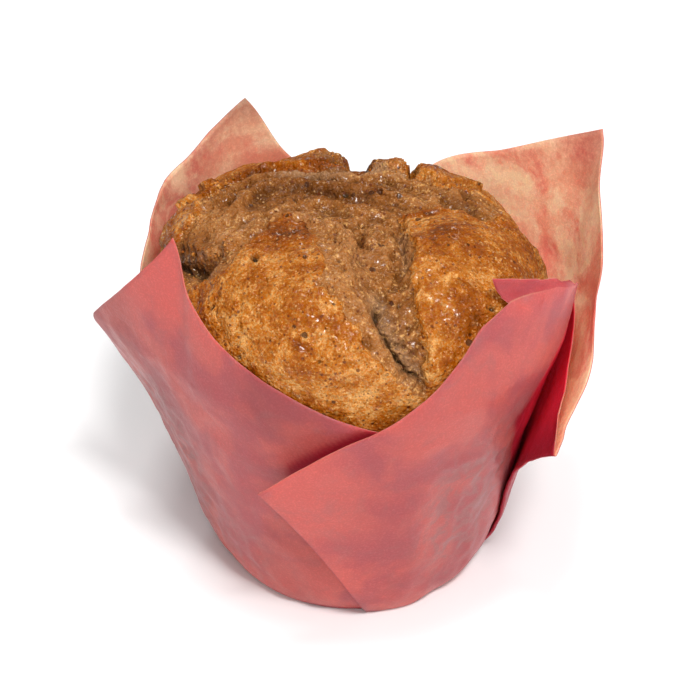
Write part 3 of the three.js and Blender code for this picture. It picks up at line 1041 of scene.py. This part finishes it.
@dataclass(frozen=True)
class Plate:
    """A raised plate of crust with a steep edge, inside an outline on the flat map."""

    outline: tuple[Plan, ...]
    height: float
    slope: float
    rag: float  # how much of the ragged field its edge takes

    def height_at(self, places: Array, ragged: Array) -> Array:
        """How high it stands at some places, its outline moved in or out by ragged."""
        inside = depth_inside(places, self.outline) + self.rag * ragged
        return self.height * smooth(inside / self.slope + 0.5)


# The torn band over the top and down the valley between the two front lobes, where crumb shows.
TORN_BAND: tuple[Plan, ...] = (
    (-40, -4), (-37, -10), (-33, -18), (-27, -19.5), (-22.5, -18), (-19.5, -13), (-16.5, -8),
    (-13.5, -5.5), (-9.5, -8), (-7.5, -14), (-5.8, -21), (-6.5, -26.5), (-1, -33), (4, -40),
    (9, -44), (14, -47), (17, -47.5), (16, -41), (13, -34), (11.5, -26), (10.8, -20), (12.5, -15),
    (10, -9), (9.5, -2), (16, 1.5), (26, 0), (31, 3), (30, 10), (20, 11), (13, 15), (4, 19),
    (-8, 17), (-18, 13), (-26, 8), (-30, 2), (-35, 0),
)
# A second tear down the far side.
FAR_TEAR: tuple[Plan, ...] = (
    (2, 19), (9, 27), (14, 37), (13, 45), (8, 44), (5, 36), (-2, 30), (-9, 27), (-8, 20),
)
PLATES: tuple[Plate, ...] = (
    # The front left lobe, with its curled rim over the plateau and the valley.
    Plate((
        (-50, -14), (-36, -16.5), (-30, -18), (-27, -16), (-24.5, -10.5), (-20, -6.8), (-14.5, -4),
        (-9, -5.4), (-4, -8.6), (-0.8, -12.5), (0, -18), (0.6, -25), (2.4, -30), (6, -37), (10, -42),
        (16, -47), (16, -70), (-30, -70), (-60, -40),
    ), 1.5, 2.6, 0.4),
    # The right lobe.
    Plate((
        (9.6, -2), (10.2, -9), (12, -14), (11, -20), (12, -29), (15, -37), (19, -48), (40, -60),
        (62, -20), (52, 2), (36, -1), (27, -5), (19, 0.5),
    ), 1.0, 1.3, 1.0),
    # The slab that lifted at the back left.
    Plate((
        (-34, 10), (-27, 13), (-22, 15.5), (-16, 16.5), (-9, 18.5), (-3.5, 20), (-3, 27), (-9, 33),
        (-24, 31), (-36, 22),
    ), 2.0, 0.9, 1.0),
    # A pale flake at the edge of the back right crust.
    Plate(((28, -4), (33, -3), (34.5, 2), (35.5, 9), (31, 14), (24, 12), (25, 4)), 0.9, 0.8, 0.9),
    # The slab that hangs over the left crevice.
    Plate((
        (-52, 16), (-42, 8), (-36.5, -2), (-32, -8.5), (-27, -12), (-22, -7), (-26, 6), (-36, 20),
    ), 1.3, 1.2, 0.8),
    # The crags at the back, with a gap on either side of the small one.
    Plate(((3.8, 18), (5.2, 16.4), (9, 17), (10.6, 19.5), (11, 29), (3.6, 29)), 2.0, 0.7, 0.7),
    Plate(((13.6, 16), (15, 13.8), (20, 15), (27, 20), (27, 30), (20, 33), (13.6, 29)), 1.7, 0.6, 0.7),
    Plate(((-31, 17), (-28.6, 15.6), (-26.4, 17.6), (-27.6, 20.4), (-30.4, 20.4)), 1.7, 0.7, 0.9),
)
RELIEF: tuple[Swell | Ridge, ...] = (
    Swell((-13, -22), (23, 21), 2.2, edge=1.5),
    Swell((24, -16), (17, 20), 1.9, edge=1.6),
    Swell((-28, 6), (13, 12), 1.2),
    Swell((4.6, -11.5), (4.6, 9.5), 1.7, turn=4, edge=1.3),
    Swell((7, 28), (17, 14), -2.0, edge=1.5),
    Swell((0.9, 27), (3.9, 13), -3.4, edge=2.0),
    Swell((0.9, 42), (5.0, 13), -3.0, edge=2.0),
    Swell((11.9, 24), (1.5, 12), -3.4, edge=2.0),
    Swell((12.2, 38), (2.8, 11), -2.4, edge=2.0),
    Swell((-28, 16), (14, 14), -2.2, edge=1.3),
    Swell((-17, 24), (13, 12), -2.0, edge=1.2),
    Swell((-11, 32), (9, 9), -1.0, edge=1.2),
    Swell((38, 14), (17, 15), -2.4, edge=1.3),
    Swell((24, 31), (10, 11), -2.4, edge=1.2),
    Swell((22, 21), (8, 9), -1.5, edge=1.2),
    Swell((46, -2), (11, 12), -3.0, edge=1.3),
    Swell((-3, 9), (14, 5), 0.8, turn=3),
    Ridge(((2, -14), (3.5, -23), (6.5, -31), (10, -38), (15, -45)), 4.4, -1.0),
    Ridge((
        (3.4, -28), (4.8, -31), (5.4, -34), (7.2, -36.6), (7.8, -38.4), (10, -40.4), (11, -42.4),
        (13.6, -43.2), (15.6, -44.6),
    ), 0.42, -2.2, 1.4, 0.9),
    Ridge(((7.6, -37.4), (9.4, -36.4), (11.2, -37.6)), 0.55, -1.2, 1.5, 0.5),
    Ridge((
        (-46, 6), (-40, -2), (-36.4, -8.6), (-32.4, -12.4), (-28, -14.8), (-25.6, -14),
    ), 1.3, -3.0, 2.2, 0.68),
    Ridge((
        (-27, -16), (-24, -11), (-20, -7), (-14.5, -4.4), (-9, -5.8), (-4, -9), (-1.4, -13), (-0.8, -20),
    ), 1.8, 2.2),
    Ridge((
        (-25, -7), (-20, -3), (-14, -0.8), (-8, -2), (-3, -5.4), (0.6, -9.5), (0.9, -15),
    ), 1.3, -2.8, 2.0, 0.45),
    Ridge(((9.4, -3), (9.8, -9), (9.8, -15), (9.8, -23)), 1.0, -1.5, 2.0, 0.2),
    Ridge(((0.5, -4), (4.6, -2.4), (8.6, -4.4)), 1.0, -0.9),
    Ridge(((2, -7.6), (4.6, -6), (7.2, -8), (7.6, -13), (6, -18)), 0.9, 0.7),
    Ridge(((3.4, -11), (4.4, -9.8), (5.4, -12), (4.8, -16)), 0.7, -0.7),
    Ridge((
        (-30, 4), (-24, 8.4), (-17, 11.6), (-8, 13.6), (0, 14.6), (8, 14.4), (14, 11.6), (19, 8),
    ), 1.3, 1.5),
    Ridge((
        (-27, 3), (-22, 6.6), (-16, 9.6), (-9, 11.4), (0, 12.2), (7, 11.6), (12, 9.4),
    ), 0.9, -1.2, 2.0, 0.1),
    Ridge(((-24, 1), (-19, 5.8), (-13, 8.8), (-5, 9.6), (3, 9), (9, 6.4), (14, 4.4)), 1.2, 1.1),
    Ridge(((-18, 1), (-13, 4.8), (-6, 6.4), (0, 5.6), (6, 3.4)), 1.0, -1.1),
    Ridge(((-12, 1.6), (-7, 3.4), (-1, 2.6), (5, 0.4)), 1.2, 0.9),
    Ridge(((-20, 17.4), (-10, 18), (-1, 17.6), (7, 17.6), (14, 15.4)), 1.0, 0.8),
    Ridge(((-26, 13), (-20.4, 14.8), (-15, 15.4)), 0.9, -2.6, 2.0, 0.9),
    Ridge(((14, 3), (20, 4), (26, 1), (30, -3)), 1.2, -1.1),
    Ridge(((15, 8), (21, 10), (28, 9)), 1.3, 1.0),
    Ridge(((12, -20), (18, -23), (24, -22)), 1.3, -0.6),
    Ridge(((-30, -30), (-22, -34), (-12, -36), (-4, -41)), 2.0, -0.5),
    Ridge(((-12, -25.5), (-8, -26.6), (-4, -26)), 0.8, -0.6, 2.0, 0.2),
    Ridge(((5, 31), (9, 37), (11, 44)), 1.5, -2.4, 2.0, 0.8),
    Ridge(((-14, 36), (-22, 41), (-34, 38)), 1.2, -1.4, 2.0, 0.5),
)
# Where the crumb looks grey: round the clefts, and on the far sides of the curled rims.
ASHEN: tuple[Swell | Ridge, ...] = (
    Ridge(((2.5, -25), (4.8, -30), (7.6, -36), (11.4, -41), (15.5, -44.5)), 2.4, 0.8),
    Ridge(((-40, -2), (-36.4, -8.6), (-32.4, -12.4), (-27, -15.4)), 2.8, 0.3),
    Ridge(((-25, -9), (-20, -5), (-14.5, -2.6), (-9, -4), (-4, -7), (0, -11)), 1.5, 0.75),
    Ridge(((-14, 12.6), (-5, 15), (2, 16.6), (8, 16.4), (14, 13.6)), 2.2, 0.8),
    Ridge(((9.6, -6), (10.4, -12), (10, -20)), 1.3, 0.6),
    Swell((6.6, 21), (4, 5), 0.7),
    Swell((1, -18), (5, 9), 0.35),
)
PITS: tuple[Swell, ...] = (
    Swell((-19, -18.6), (1.0, 1.6), -1.3, turn=20),
    Swell((-28, -25.6), (1.4, 0.8), -1.1),
    Swell((-24, -36.6), (1.1, 1.0), -1.2),
    Swell((-7, -40.8), (0.9, 0.7), -1.0),
    Swell((-3, -20.8), (0.8, 0.8), -0.9),
    Swell((-2, 7.2), (1.5, 0.8), -1.2),
    Swell((-7.2, 2.8), (0.6, 1.4), -0.9),
    Swell((8.8, -28.6), (0.9, 1.2), -0.9),
    Swell((27, -26.4), (2.0, 0.9), -1.1, turn=20),
    Swell((21, -42.4), (1.2, 0.7), -1.2),
    Swell((14, 13.2), (1.2, 0.9), -1.1),
    Swell((30, -19), (1.0, 0.8), -0.8),
)
# Where the crust and crumb are browned; two swellings below are painted shade instead.
TOASTED_AND_SHADED: tuple[Swell, ...] = (
    Swell((-14, -12), (12, 7), 0.75),
    Swell((-10, -16), (6, 7), 0.35),
    Swell((-10, -23), (6, 2), 0.4, turn=8),
    Swell((-10, -37.5), (4, 2), 0.6, turn=-10),
    Swell((-31, -24), (7, 6), 0.4),
    Swell((14, -2), (7, 2.6), 1.0, turn=6),
    Swell((18, -12), (10, 12), 0.4),
    Swell((24, -12), (14, 14), 0.3),
    Swell((31, -23), (4, 4), 0.8),
    Swell((22, -32), (8, 14), 0.6),
    Swell((-18, 18), (24, 10), 0.75),
    Swell((-4, 20), (8, 6), 0.5),
    Swell((-4, 8), (17, 9), 0.8, edge=1.4),
    Swell((16, 22), (8, 6), 0.6),
    Swell((38, -4), (12, 14), 0.55),
    Swell((0, 38), (40, 18), 0.5),
    Swell((8, 2), (7, 4), 0.6),
    # Painted shade: under the slab in the left crevice, and along the back of the front left lobe's curled
    # rim.
    Swell((-37, -6), (10, 12), 0.85, turn=-40),
    Swell((-14, -3.4), (10, 2.6), 0.7),
    Swell((-28, -16), (5, 5), 0.5),
    Swell((-22, 8), (13, 8), 0.45),
)


@dataclass
class Dome:
    """The muffin's smooth form before its crust tears.

    Its flat map unrolls the dome from the apex: a place's distance from the middle is the way down
    the dome's surface, and its direction is its azimuth.
    """

    cup: Cup
    radius: float = 41.15
    shoulder: float = 62.0
    top: float = 82.0
    fullness: float = 0.6
    floor: float = 0.9
    wall_gap: float = 0.9
    overhang_az: float = 152.0
    overhang_spread: float = 42.0
    overhang_fullness: float = 0.2
    overhang_reach: float = 0.6

    def __post_init__(self) -> None:
        """Works out the profile: way down the surface, radius, height and angle up the dome."""
        angle = np.linspace(math.pi / 2.0, 0.0, 1200)
        r = self.radius * np.cos(angle) ** self.fullness
        r[0] = 0.0
        z = self.shoulder + (self.top - self.shoulder) * np.sin(angle)
        side_z = np.linspace(self.shoulder, self.floor, 400)[1:]
        side_r = np.minimum(self.cup.radius(side_z) - self.wall_gap, self.radius)
        base_r = np.linspace(side_r[-1], 0.0, 80)[1:]
        self.angle = np.concatenate([angle, np.zeros(len(side_z) + len(base_r))])
        self.r = np.concatenate([r, side_r, base_r])
        self.z = np.concatenate([z, side_z, np.full(len(base_r), self.floor)])
        steps = np.hypot(np.diff(self.r), np.diff(self.z))
        self.way = np.concatenate([[0.0], np.cumsum(steps)])
        self.shoulder_way = float(self.way[len(angle) - 1])
        rings = np.pi * (self.r[:-1] + self.r[1:]) * steps
        self.area = np.concatenate([[0.0], np.cumsum(rings)])

    def overhang(self, az: Array) -> Array:
        """How much of the fuller shoulder at the back left an azimuth in radians has."""
        return smooth(1.0 - np.abs(wrapped(np.degrees(az) - self.overhang_az)) / self.overhang_spread)

    def surface(self, way: Array, az: Array) -> Array:
        """Points of the smooth form at a way down its surface and an azimuth in radians."""
        r = np.interp(way, self.way, self.r)
        z = np.interp(way, self.way, self.z)
        angle = np.interp(way, self.way, self.angle)
        share = self.overhang(az) * (way < self.shoulder_way)
        fuller = np.clip(np.cos(angle), 1e-6, 1.0) ** (-self.overhang_fullness * share)
        fuller = np.where(way < 1.0, 1.0, fuller)
        out = r * fuller + self.overhang_reach * share * np.sin(2.0 * angle)
        return np.stack([out * np.cos(az), out * np.sin(az), z], axis=1)


@dataclass
class Muffin:
    """The muffin: a smooth dome torn into lobes, plates of crust, ridges and clefts."""

    dome: Dome
    seen_share: float = 0.56  # share of the starting ball that becomes the dome
    paper_way: float = 53.0  # way down to where the paper takes hold
    widest: float = 41.4  # the paper leaves no more room than this
    crust: float = 0.75  # thickness
    curl: float = 0.3  # how far the crust's torn edge stands up
    curl_width: float = 1.1
    furrow: float = 3.2  # width of the furrows in the torn crumb
    furrow_middle: Plan = (-2.0, -16.0)  # what the furrows run round
    under_paper: float = 0.25  # relief where the paper lies on the muffin
    letting_go: float = 7.0  # way over which the relief grows above the paper
    fading: float = 5.0  # way over which it dies away behind the paper

    def ball(self) -> Shape:
        """A ball of small triangles, finer where it becomes the dome."""
        shape = bmesh.new()
        bmesh.ops.create_icosphere(shape, subdivisions=6, radius=1.0)
        line = 1.0 - 2.0 * self.seen_share
        upper = [edge for edge in shape.edges if max(v.co.z for v in edge.verts) > line]
        bmesh.ops.subdivide_edges(shape, edges=upper, cuts=3, use_grid_fill=True)
        return shape

    def relief(self, flat: Array, solid: Array) -> dict[str, Array]:
        """Works out the crust's relief and what the finish reads.

        Args:
            flat: places on the flat map.
            solid: the same places on the smooth form.

        Returns:
            height in millimetres, and the crumb, toast, cleft, hollow and ash masks.
        """
        wander = np.stack([noise_field(solid, 6.0, 3, seed) for seed in (11, 12)], axis=1)
        bent = flat + wander
        ragged = noise_field(solid, 3.2, 3, 13) + 0.45 * noise_field(solid, 1.1, 2, 14)
        torn = np.maximum(depth_inside(bent, TORN_BAND), depth_inside(bent, FAR_TEAR)) + ragged
        crumb = smooth(torn + 0.5)
        crust = 1.0 - crumb
        pits = sum(one.height_at(flat + 0.4 * wander) for one in PITS)
        jagged = bent + 0.7 * np.stack([noise_field(solid, 1.8, 2, seed) for seed in (21, 22)], axis=1)
        folds = sum(one.height_at(jagged) for one in RELIEF)
        folds = folds + sum(one.height_at(jagged, ragged) for one in PLATES)
        ash = sum(one.height_at(jagged) for one in ASHEN)
        # Painted shade: dark along the clefts and grooves, and in the pits.
        cleft_shade = sum(one.dark * one.share_at(jagged) for one in RELIEF if isinstance(one, Ridge))

        away = bent - self.furrow_middle
        out = np.linalg.norm(away, axis=1)
        turned = away / np.maximum(out, 1e-3)[:, None] * self.furrow
        flow = 1.0 - 2.0 * np.abs(noise_field(np.column_stack([out / self.furrow, turned]), 1.0, 2, 19))
        broad = noise_field(solid, 9.0, 3, 15)
        lumps = np.abs(noise_field(solid, 4.6, 3, 16))
        knobs = noise_field(solid, 2.0, 3, 20)
        beads = noise_field(solid, 1.0, 2, 17)
        holes = np.maximum(noise_field(solid, 2.3, 2, 18) - 0.3, 0.0)
        middle = crumb * (0.55 * (flow - 0.4) + 0.35 * (lumps - 0.25)) + crust * 0.4 * (lumps - 0.25)
        crumbly = np.clip(ash, 0.0, 1.0) * crumb
        small = (0.1 + 0.08 * crumb) * knobs + (0.05 + 0.3 * crumbly) * beads - (0.25 + 0.45 * crumb) * holes
        height = folds + pits + self.crust * crust + 0.55 * broad + middle + small
        height += self.curl * crust * np.exp(-((torn + 1.0) / self.curl_width) ** 2)
        toast_and_shade = sum(one.height_at(bent) for one in TOASTED_AND_SHADED) + 0.12 * broad
        # Painted shade that darkens where the relief sinks.
        hollow_shade = -(0.9 * middle + 1.2 * small + 0.25 * np.minimum(folds - 1.2, 0.6)) / 0.9 + 0.2
        return {
            "height": height,
            "crumb": crumb,
            "toast_and_shade": np.clip(toast_and_shade, 0.0, 1.5),
            "cleft_shade": np.clip(cleft_shade - 0.8 * pits, 0.0, 1.0),
            "hollow_shade": np.clip(hollow_shade, 0.0, 1.0),
            "ash": np.clip(ash, 0.0, 1.0) * (0.35 + 0.65 * crumb),
        }

    def build(self) -> Piece:
        """Builds the muffin.

        Returns:
            The muffin in metres, with the masks as attributes.
        """
        shape = self.ball()
        start = np.array([v.co[:] for v in shape.verts])
        az = np.arctan2(start[:, 1], start[:, 0])
        share = (1.0 - start[:, 2] / np.linalg.norm(start, axis=1)) / 2.0
        dome = self.dome
        seen = np.interp(dome.shoulder_way + 6.0, dome.way, dome.area)
        area = np.where(
            share < self.seen_share,
            share / self.seen_share * seen,
            seen + (share - self.seen_share) / (1.0 - self.seen_share) * (dome.area[-1] - seen),
        )
        way = np.interp(area, dome.area, dome.way)
        solid = dome.surface(way, az)
        down = dome.surface(way + 0.05, az) - solid
        across = dome.surface(way, az + 0.002) - dome.surface(way, az - 0.002)
        normal = np.cross(down, across)
        normal /= np.maximum(np.linalg.norm(normal, axis=1, keepdims=True), 1e-9)
        normal[way < 0.3] = (0.0, 0.0, 1.0)

        flat = np.stack([way * np.cos(az), way * np.sin(az)], axis=1)
        marks = self.relief(flat, solid)
        free = smooth((self.paper_way - way) / self.letting_go)
        height = np.minimum(marks.pop("height"), self.under_paper + 8.0 * free)
        height *= 1.0 - smooth((way - self.paper_way - 3.0) / self.fading)
        places = solid + normal * height[:, None]
        out = np.hypot(places[:, 0], places[:, 1])
        over = np.maximum(out - (self.widest - 1.0), 0.0)
        places[:, :2] *= ((out - over + np.tanh(over)) / np.maximum(out, 1e-6))[:, None]
        for vert, place in zip(shape.verts, places):
            vert.co = place
        bmesh.ops.recalc_face_normals(shape, faces=shape.faces)
        bmesh.ops.scale(shape, vec=(MM, MM, MM), verts=shape.verts)
        piece = piece_from(shape, "muffin_body")
        for name, values in marks.items():
            mark = piece.data.attributes.new(name, "FLOAT", "POINT")
            mark.data.foreach_set("value", values.astype(np.float32))
        return piece

    def dress(self, piece: Piece, finish: Material) -> None:
        """Gives the muffin its finish and puts it on the part."""
        piece.data.materials.append(finish)
        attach(piece, "root")
        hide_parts("muffin")


@dataclass(frozen=True)
class Scatter:
    """A little heap of crumbs round a place, all dropped on the surface from one direction."""

    at: tuple[float, float, float]  # azimuth, radius and height
    spread: float
    size: float
    count: int
    slope: float = 90.0  # how far above the level the crumbs come from, in degrees


@dataclass
class Crumbs:
    """Loose crumbs on the turned tip of the paper and along the torn edges of the crust."""

    heaps: tuple[Scatter, ...] = (
        Scatter((-31, 41, 80.4), 1.6, 0.4, 4, 20),
        Scatter((147, 33, 82), 4.5, 0.75, 16),
        Scatter((158, 28, 82), 5, 0.5, 10),
        Scatter((196, 33, 76), 4, 0.7, 14),
        Scatter((205, 29, 76), 3, 0.55, 10),
        Scatter((-72, 26, 80), 3, 0.45, 8),
        Scatter((64, 22, 84), 5, 0.6, 12),
        Scatter((100, 24, 84), 5, 0.55, 10),
    )
    raggedness: float = 0.45
    knob: float = 0.35  # width of a crumb's knobs, as a share of the crumb
    stand: float = 0.22  # how high a crumb's middle stands, as a share of the crumb

    def build(self, grounds: Sequence[Piece]) -> Piece:
        """Drops the crumbs.

        Args:
            grounds: the pieces that they may land on.

        Returns:
            All the crumbs as one piece, in metres.
        """
        meshes = [one.data for one in grounds]
        trees = [
            BVHTree.FromPolygons([v.co for v in mesh.vertices], [p.vertices for p in mesh.polygons])
            for mesh in meshes
        ]
        luck = np.random.default_rng(SEED)
        shape = bmesh.new()
        for heap in self.heaps:
            away = toward(heap.at[0], heap.slope)
            middle = Vector(polar(*heap.at))
            for _ in range(heap.count):
                start = (middle + Vector(luck.normal(0.0, heap.spread / 2.0, 3)) + away * 30.0) * MM
                size = heap.size * luck.uniform(0.6, 1.3)
                self.drop(shape, [tree.ray_cast(start, -away) for tree in trees], size, luck)
        return piece_from(shape, "crumbs")

    def drop(self, shape: Shape, hits: Sequence[tuple], size: float, luck: np.random.Generator) -> None:
        """Adds one crumb where the nearest of some hits lies, half sunk into a soft surface."""
        found = [hit for hit in hits if hit[0] is not None]
        if not found:
            return
        place, normal, _, _ = min(found, key=lambda hit: hit[3])
        made = bmesh.ops.create_icosphere(shape, subdivisions=2, radius=size / 2.0 * MM)["verts"]
        squash = Vector(luck.uniform(0.6, 1.2, 3))
        shift = Vector(luck.uniform(-50.0, 50.0, 3))
        for vert in made:
            ragged = 1.0 + self.raggedness * noise.noise(vert.co / (size * self.knob * MM) + shift)
            vert.co = vert.co * squash * ragged + place + normal * size * self.stand * MM

    def dress(self, piece: Piece, finish: Material) -> None:
        """Gives the crumbs the muffin's finish and puts them on the part."""
        piece.data.materials.append(finish)
        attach(piece, "root")


def piece_from(shape: Shape, name: str) -> Piece:
    """Turns a bmesh into a smooth-shaded object in the scene and frees the bmesh."""
    for face in shape.faces:
        face.smooth = True
    mesh = bpy.data.meshes.new(name)
    shape.to_mesh(mesh)
    shape.free()
    made = bpy.data.objects.new(name, mesh)
    bpy.context.scene.collection.objects.link(made)
    return made


# ---- The studio ----


def look_at(aim: Vector, away: Vector, distance: float, data: bpy.types.ID) -> Piece:
    """Puts a lamp or a camera at a distance from a point, and turns it to look there."""
    made = bpy.data.objects.new(data.name, data)
    made.location = aim + away * distance
    made.rotation_euler = (-away).to_track_quat("-Z", "Y").to_euler()
    bpy.context.scene.collection.objects.link(made)
    return made


@dataclass(frozen=True)
class SoftLight:
    """A square softbox that looks at the muffin."""

    name: str
    az: float  # round from the front, towards the right
    elevation: float
    size: float
    watts: float
    distance: float = 2.2  # metres

    def hang(self, aim: Vector) -> None:
        """Hangs the light so that it looks at a point."""
        lamp = bpy.data.lights.new(self.name, "AREA")
        lamp.shape = "SQUARE"
        lamp.size = self.size
        lamp.energy = self.watts
        look_at(aim, toward(self.az - 90.0, self.elevation), self.distance, lamp)


@dataclass
class Studio:
    """The pale floor, the soft lights and the camera."""

    target: tuple[float, float, float] = (-0.8, 0.0, 48.6)
    distance: float = 600.0
    elevation: float = 34.0
    focal_share: float = 2850.0 / 700.0  # focal length over the width of the frame
    sensor: float = 36.0
    floor_size: float = 6.0
    sky: float = 0.32
    lights: tuple[SoftLight, ...] = (
        SoftLight("key", 20, 56, 0.42, 37),
        SoftLight("top", -20, 84, 0.4, 14.5),
        SoftLight("fill", -50, 30, 1.4, 2),
        SoftLight("front", 12, 30, 0.6, 9),
        SoftLight("side", 84, 8, 0.8, 5),
        SoftLight("back", 176, 46, 0.3, 5),
    )

    def build(self) -> None:
        """Builds the floor, the lights, the sky and the camera."""
        scene = bpy.context.scene
        scene.view_settings.view_transform = "Standard"
        shape = bmesh.new()
        bmesh.ops.create_grid(shape, x_segments=8, y_segments=8, size=self.floor_size / 2.0)
        floor = piece_from(shape, "studio_floor")
        floor.data.materials.append(FloorFinish().material())

        world = bpy.data.worlds.new("studio sky")
        world.use_nodes = True
        background = world.node_tree.nodes["Background"]
        background.inputs["Color"].default_value = (1.0, 1.0, 1.0, 1.0)
        background.inputs["Strength"].default_value = self.sky
        scene.world = world

        aim = Vector(self.target) * MM
        for light in self.lights:
            light.hang(aim)

        eye = bpy.data.cameras.new("camera")
        eye.sensor_width = self.sensor
        eye.lens = self.sensor * self.focal_share
        eye.clip_start = 0.01
        scene.camera = look_at(aim, toward(-90.0, self.elevation), self.distance * MM, eye)


# ---- Assembly ----


def main() -> None:
    """Builds the studio, the case and the muffin, and reports each."""
    logging.basicConfig(level=logging.INFO, format="%(message)s")
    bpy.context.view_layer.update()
    Studio().build()
    effects = Effects()

    cup = Cup()
    printed = PaperFinish(
        "Paper, printed side",
        Front.PRINTED,
        main=(0.56, 0.110, 0.094),
        blush=(0.41, 0.082, 0.088),
        haze=(0.36, 0.135, 0.132),
        rough=0.42,
    )
    bare = PaperFinish(
        "Paper, bare side",
        Front.BARE,
        main=(0.84, 0.36, 0.22),
        blush=(0.74, 0.19, 0.14),
        haze=(0.98, 0.68, 0.43),
        deep=(0.42, 0.15, 0.10),
        rough=0.6,
    )
    cut = PaperFinish(
        "Paper, cut edge",
        Front.CUT,
        main=(0.50, 0.15, 0.12),
        blush=(0.46, 0.12, 0.10),
        haze=(0.54, 0.24, 0.17),
        rough=0.7,
    )
    case = TulipCase(cup)
    sheet = case.build()
    case.dress(sheet, [one.material(effects) for one in (printed, bare, cut)])

    muffin = Muffin(Dome(cup))
    body = muffin.build()
    baked = BakedFinish().material(effects)
    muffin.dress(body, baked)

    crumbs = Crumbs()
    bits = crumbs.build([sheet, body])
    crumbs.dress(bits, baked)
    for piece in (sheet, body, bits):
        LOG.info("%s: %d faces", piece.name, len(piece.data.polygons))

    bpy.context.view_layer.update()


if __name__ == "__main__":
    main()
